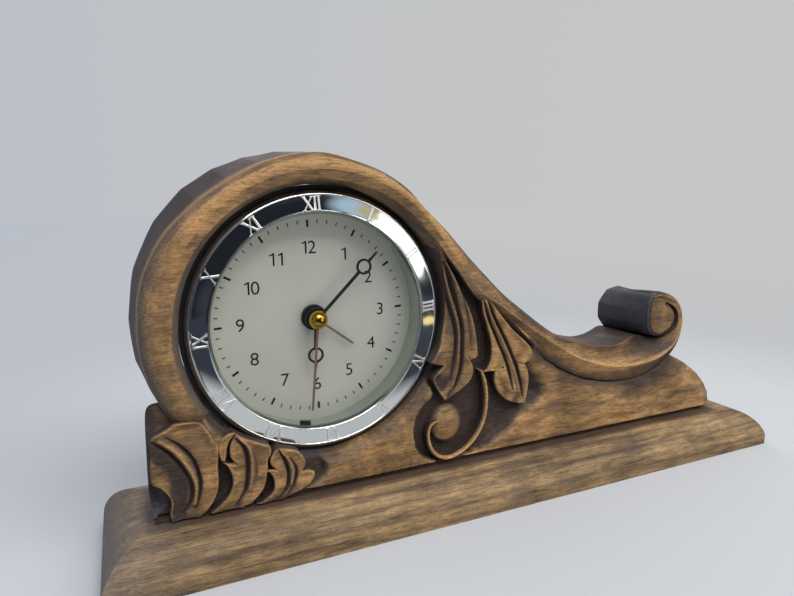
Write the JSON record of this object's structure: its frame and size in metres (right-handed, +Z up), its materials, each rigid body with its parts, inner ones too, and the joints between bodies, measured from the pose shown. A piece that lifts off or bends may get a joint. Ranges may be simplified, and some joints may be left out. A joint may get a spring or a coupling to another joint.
{
  "type": "wooden desk clock",
  "caption": "Carved wooden mantel clock on a moulded plinth: round arch with a chromed alarm clock insert, leaf carving and a slope that ends in a scroll.",
  "frame": {"origin": "middle of the plinth's underside, on the surface that the clock stands on", "axes": "+X to the right as seen from the front along the clock's length, +Y back through its depth, +Z up"},
  "size_m": [0.327, 0.0666, 0.1555],
  "materials": {
    "plinth_wood": "dark stained wood, satin",
    "body_wood": "brown stained carved wood, satin",
    "chrome": "polished chrome plate",
    "case_black": "black moulded ABS, fine texture",
    "glass": "clear flat glass",
    "reflector": "pale moulded plastic",
    "dial_paint": "off-white matt paint",
    "hand_black": "black matt lacquer",
    "hand_copper": "copper-coloured lacquer",
    "brass": "polished brass",
    "rubber": "black rubber",
    "movement_plastic": "natural moulded plastic",
    "wheel_plastic": "white acetal",
    "steel": "zinc-plated steel",
    "iron": "soft iron sheet",
    "copper_wire": "enamelled copper wire",
    "board": "green circuit board",
    "cell_wrap": "printed cell wrap, plain",
    "buzzer_brass": "thin brass disc"
  },
  "bodies": {
    "clock": {"plinth": "plinth_wood", "carved_body": "body_wood", "plinth_screws": "steel", "bezel": "chrome", "case_drum": "case_black", "grip_ring": "rubber", "crystal": "glass", "reflector_ring": "reflector", "dial": "dial_paint", "dial_nut": "hand_black", "movement_plate": "movement_plastic", "movement_base": "movement_plastic", "motor_coil": "copper_wire", "stator": "iron", "circuit_board": "board", "rear_cover": "case_black", "cover_screws": "steel", "buzzer": "buzzer_brass", "battery": "cell_wrap", "positive_contact": "steel", "negative_contact": "steel"},
    "seconds": {"seconds_wheel": "wheel_plastic", "second_hand": "hand_copper", "second_cap": "brass"},
    "rotor": {"rotor": "iron"},
    "fifth": {"fifth_wheel": "wheel_plastic"},
    "third": {"third_wheel": "wheel_plastic"},
    "centre": {"centre_wheel": "wheel_plastic"},
    "minutes": {"minute_tube": "brass", "minute_hand": "hand_black"},
    "motion": {"motion_wheel": "wheel_plastic"},
    "hours": {"hour_wheel": "wheel_plastic", "hour_hand": "hand_black"},
    "time_set": {"time_set_shaft": "steel", "time_knob": "case_black"},
    "alarm": {"alarm_wheel": "wheel_plastic", "alarm_hand": "hand_copper"},
    "alarm_set": {"alarm_set_shaft": "steel", "alarm_knob": "case_black"},
    "battery_door": {"battery_door": "case_black"},
    "alarm_switch": {"alarm_switch": "movement_plastic"}
  },
  "joints": [
    {"name": "second_hand_spin", "type": "hinge", "parent": "clock", "child": "seconds", "pos_m": [-0.0778, 0, 0.0875], "axis": [0, 1, 0], "continuous": true},
    {"name": "rotor_spin", "type": "hinge", "parent": "clock", "child": "rotor", "pos_m": [-0.06242, 0, 0.09937], "axis": [0, 1, 0], "continuous": true},
    {"name": "fifth_wheel_spin", "type": "hinge", "parent": "clock", "child": "fifth", "pos_m": [-0.06949, 0, 0.0923], "axis": [0, 1, 0], "continuous": true},
    {"name": "third_wheel_spin", "type": "hinge", "parent": "clock", "child": "third", "pos_m": [-0.0778, 0, 0.1005], "axis": [0, 1, 0], "continuous": true},
    {"name": "centre_wheel_spin", "type": "hinge", "parent": "clock", "child": "centre", "pos_m": [-0.0778, 0, 0.0875], "axis": [0, 1, 0], "continuous": true},
    {"name": "minute_hand_spin", "type": "hinge", "parent": "clock", "child": "minutes", "pos_m": [-0.0778, 0, 0.0875], "axis": [0, 1, 0], "continuous": true},
    {"name": "motion_wheel_spin", "type": "hinge", "parent": "clock", "child": "motion", "pos_m": [-0.08814, 0, 0.08374], "axis": [0, 1, 0], "continuous": true},
    {"name": "hour_hand_spin", "type": "hinge", "parent": "clock", "child": "hours", "pos_m": [-0.0778, 0, 0.0875], "axis": [0, 1, 0], "continuous": true},
    {"name": "time_knob_spin", "type": "hinge", "parent": "clock", "child": "time_set", "pos_m": [-0.09766, 0, 0.08924], "axis": [0, 1, 0], "continuous": true},
    {"name": "alarm_hand_spin", "type": "hinge", "parent": "clock", "child": "alarm", "pos_m": [-0.0778, 0, 0.0875], "axis": [0, 1, 0], "continuous": true},
    {"name": "alarm_knob_spin", "type": "hinge", "parent": "clock", "child": "alarm_set", "pos_m": [-0.06204, 0, 0.08472], "axis": [0, 1, 0], "continuous": true},
    {"name": "battery_door_lift", "type": "slide", "parent": "clock", "child": "battery_door", "axis": [0, 1, 0], "range_m": [0, 0.02]},
    {"name": "alarm_switch_slide", "type": "slide", "parent": "clock", "child": "alarm_switch", "axis": [1, 0, 0], "range_m": [0, 0.004]}
  ],
  "couplings": [
    {"joint": "fifth_wheel_spin", "follows": "second_hand_spin", "ratio": -5},
    {"joint": "rotor_spin", "follows": "second_hand_spin", "ratio": 30},
    {"joint": "third_wheel_spin", "follows": "second_hand_spin", "ratio": -0.125},
    {"joint": "centre_wheel_spin", "follows": "second_hand_spin", "ratio": 0.016667},
    {"joint": "motion_wheel_spin", "follows": "minute_hand_spin", "ratio": -0.33333},
    {"joint": "hour_hand_spin", "follows": "minute_hand_spin", "ratio": 0.083333},
    {"joint": "time_knob_spin", "follows": "minute_hand_spin", "ratio": 1},
    {"joint": "alarm_knob_spin", "follows": "alarm_hand_spin", "ratio": -1}
  ]
}
